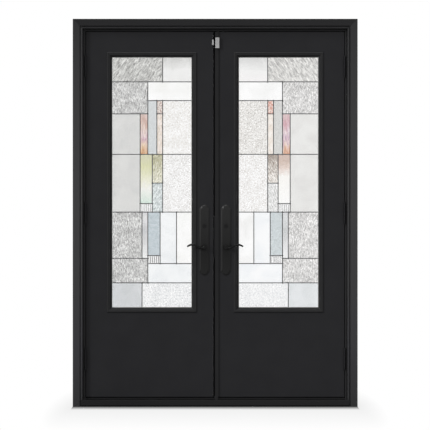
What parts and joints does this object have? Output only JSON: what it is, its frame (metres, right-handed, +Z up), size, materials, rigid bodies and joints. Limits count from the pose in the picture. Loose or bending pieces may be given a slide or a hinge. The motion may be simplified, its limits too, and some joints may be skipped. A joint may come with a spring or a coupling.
{
  "type": "steel entry door",
  "caption": "Double steel entry door in its frame, leaded glass in each leaf, butt hinges, lever sets, latch, dead bolt and shoot bolts, sill and astragal.",
  "frame": {"origin": "underside of the sill, at the middle of its length and of the leaf thickness", "axes": "+X to the right seen from outside, +Y from outside to inside, +Z up"},
  "size_m": [1.905, 0.2095, 2.594],
  "materials": {
    "painted_wood": "satin",
    "painted_steel": "satin",
    "stile_wood": "matte",
    "foam_core": "matte",
    "lite_plastic": "satin",
    "clear_glass": "gloss",
    "textured_glass": "gloss",
    "coloured_glass": "gloss",
    "came_metal": "satin",
    "bronze": "satin",
    "hinge_steel": "satin",
    "plain_steel": "satin",
    "black_rubber": "matte",
    "sill_aluminium": "satin",
    "astragal_aluminium": "satin",
    "grey_plastic": "satin"
  },
  "bodies": {
    "frame": {"left_jamb": "painted_wood", "right_jamb": "painted_wood", "head_jamb": "painted_wood", "left_brickmould": "painted_wood", "right_brickmould": "painted_wood", "head_brickmould": "painted_wood", "sill": "sill_aluminium", "sill_cap": "sill_aluminium", "weatherstrips": "black_rubber", "frame_hinge_leaves": "hinge_steel", "hinge_pins": "hinge_steel", "bolt_keepers": "plain_steel"},
    "left_leaf": {"left_outer_skin": "painted_steel", "left_inner_skin": "painted_steel", "left_core": "foam_core", "left_edge_frame": "stile_wood", "left_outer_lite_frame": "lite_plastic", "left_inner_lite_frame": "lite_plastic", "left_glass_panes": "clear_glass", "left_came": "came_metal", "left_textured_glass": "textured_glass", "left_clear_glass": "clear_glass", "left_coloured_glass": "coloured_glass", "left_door_hinge_leaves": "hinge_steel", "left_outer_escutcheon": "bronze", "left_inner_escutcheon": "bronze", "left_lock_case": "hinge_steel", "left_cylinder": "bronze", "left_sweep": "black_rubber", "contact_magnet": "grey_plastic"},
    "left_lever": {"left_outer_lever": "bronze", "left_inner_lever": "bronze"},
    "right_leaf": {"right_outer_skin": "painted_steel", "right_inner_skin": "painted_steel", "right_core": "foam_core", "right_edge_frame": "stile_wood", "right_outer_lite_frame": "lite_plastic", "right_inner_lite_frame": "lite_plastic", "right_glass_panes": "clear_glass", "right_came": "came_metal", "right_textured_glass": "textured_glass", "right_clear_glass": "clear_glass", "right_coloured_glass": "coloured_glass", "right_door_hinge_leaves": "hinge_steel", "right_outer_escutcheon": "bronze", "right_inner_escutcheon": "bronze", "right_lock_case": "hinge_steel", "right_cylinder": "bronze", "right_sweep": "black_rubber", "astragal": "astragal_aluminium", "astragal_seal": "black_rubber", "strike_plate": "hinge_steel", "contact_sensor": "grey_plastic"},
    "right_lever": {"right_outer_lever": "bronze", "right_inner_lever": "bronze"},
    "thumb_turn": {"left_thumb_turn": "bronze"},
    "latch": {"left_latch_bolt": "plain_steel"},
    "dead_bolt": {"left_dead_bolt": "plain_steel"},
    "top_bolt": {"top_shoot_bolt": "plain_steel"},
    "bottom_bolt": {"bottom_shoot_bolt": "plain_steel"}
  },
  "joints": [
    {"name": "left_leaf_swing", "type": "hinge", "parent": "frame", "child": "left_leaf", "pos_m": [-0.86625, -0.0318, 1.3], "axis": [0, 0, -1], "range_deg": [0, 110]},
    {"name": "right_leaf_swing", "type": "hinge", "parent": "frame", "child": "right_leaf", "pos_m": [0.86625, -0.0318, 1.3], "axis": [0, 0, 1], "range_deg": [0, 110]},
    {"name": "left_lever_turn", "type": "hinge", "parent": "left_leaf", "child": "left_lever", "pos_m": [-0.072, 0, 1.065], "axis": [0, -1, 0], "range_deg": [0, 45], "stiffness_Nm_per_rad": 1.2, "springref_deg": -45.84},
    {"name": "latch_slide", "type": "slide", "parent": "left_leaf", "child": "latch", "axis": [-1, 0, 0], "range_m": [0, 0.0127]},
    {"name": "thumb_turn_turn", "type": "hinge", "parent": "left_leaf", "child": "thumb_turn", "pos_m": [-0.072, 0, 1.208], "axis": [0, 1, 0], "range_deg": [0, 90]},
    {"name": "dead_bolt_slide", "type": "slide", "parent": "left_leaf", "child": "dead_bolt", "axis": [1, 0, 0], "range_m": [0, 0.02]},
    {"name": "right_lever_turn", "type": "hinge", "parent": "right_leaf", "child": "right_lever", "pos_m": [0.072, 0, 1.065], "axis": [0, -1, 0], "range_deg": [0, 45], "stiffness_Nm_per_rad": 1.2, "springref_deg": -45.84},
    {"name": "top_bolt_slide", "type": "slide", "parent": "right_leaf", "child": "top_bolt", "axis": [0, 0, 1], "range_m": [0, 0.016]},
    {"name": "bottom_bolt_slide", "type": "slide", "parent": "right_leaf", "child": "bottom_bolt", "axis": [0, 0, -1], "range_m": [0, 0.016]}
  ],
  "couplings": [
    {"joint": "latch_slide", "follows": "left_lever_turn", "m_per_rad": 0.016169},
    {"joint": "thumb_turn_turn", "follows": "dead_bolt_slide", "rad_per_m": 78.539},
    {"joint": "top_bolt_slide", "follows": "right_lever_turn", "m_per_rad": 0.020371},
    {"joint": "bottom_bolt_slide", "follows": "right_lever_turn", "m_per_rad": 0.020371}
  ]
}
